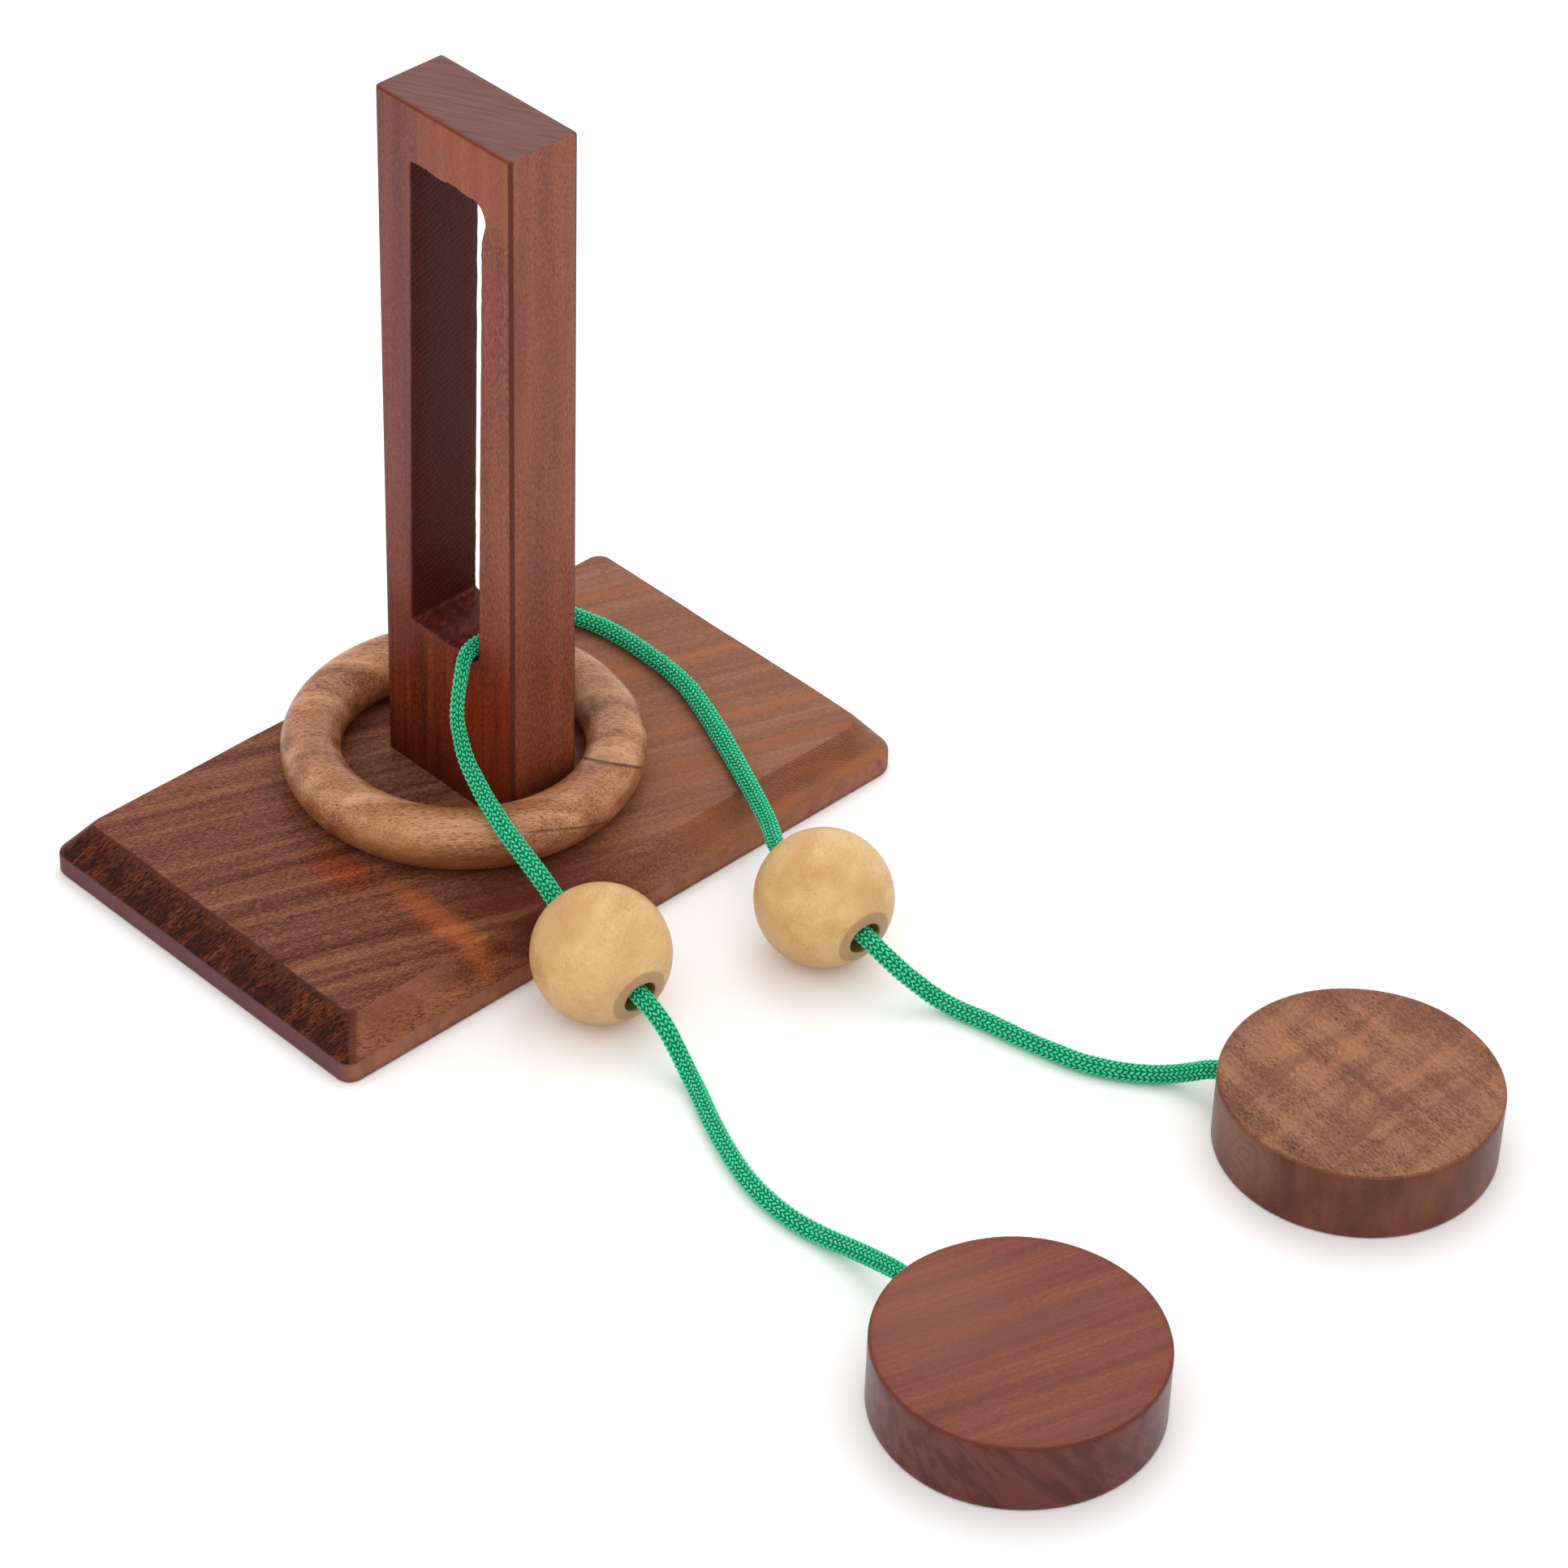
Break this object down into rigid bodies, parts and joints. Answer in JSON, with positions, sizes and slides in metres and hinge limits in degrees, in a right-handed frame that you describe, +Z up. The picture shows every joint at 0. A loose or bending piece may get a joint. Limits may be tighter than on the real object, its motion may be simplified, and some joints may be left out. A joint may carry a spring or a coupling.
{
  "type": "rope puzzle",
  "caption": "Wooden disentanglement puzzle: slotted post on a chamfered board, a ring round the post, and a green braided rope through the slot with a ball bead and a disc on each strand.",
  "frame": {"origin": "middle of the board's underside, on the table", "axes": "+Z up along the post, +X along the board's length and through the slot, +Y along the board's width, away from the discs"},
  "size_m": [0.1594, 0.2649, 0.168],
  "materials": {
    "board_wood": "satin",
    "post_wood": "satin",
    "screw_steel": "satin",
    "ring_wood": "satin",
    "bead_wood": "satin",
    "front_disc_wood": "matte",
    "back_disc_wood": "matte",
    "rope_braid": "satin"
  },
  "bodies": {
    "stand": {"base_board": "board_wood", "post": "post_wood", "post_screws": "screw_steel", "rope_front_over_ring": "rope_braid", "rope_front_middle": "rope_braid", "rope_front_end": "rope_braid", "rope_back_over_ring": "rope_braid", "rope_back_middle": "rope_braid", "rope_back_end": "rope_braid"},
    "ring": {"ring": "ring_wood"},
    "bead_front": {"bead_front": "bead_wood"},
    "bead_back": {"bead_back": "bead_wood"},
    "disc_front": {"disc_front": "front_disc_wood"},
    "disc_back": {"disc_back": "back_disc_wood"}
  },
  "joints": [
    {"name": "ring_lift", "type": "slide", "parent": "stand", "child": "ring", "axis": [0, 0, 1], "range_m": [0, 0.02], "deforming": ["rope_front_over_ring", "rope_back_over_ring"]},
    {"name": "bead_front_slide", "type": "slide", "parent": "stand", "child": "bead_front", "axis": [-0.1149, -0.9934, 0], "range_m": [-0.001, 0.01], "deforming": ["rope_front_middle"]},
    {"name": "bead_back_slide", "type": "slide", "parent": "stand", "child": "bead_back", "axis": [-0.1045, -0.9945, 0], "range_m": [-0.012, 0.012], "deforming": ["rope_back_middle"]},
    {"name": "disc_front_turn", "type": "hinge", "parent": "stand", "child": "disc_front", "pos_m": [-0.0396, -0.1645, 0.00775], "axis": [0, 0, 1], "range_deg": [-25, 25], "deforming": ["rope_front_end"]},
    {"name": "disc_back_turn", "type": "hinge", "parent": "stand", "child": "disc_back", "pos_m": [0.0466, -0.1614, 0.00775], "axis": [0, 0, 1], "range_deg": [-25, 25], "deforming": ["rope_back_end"]}
  ]
}
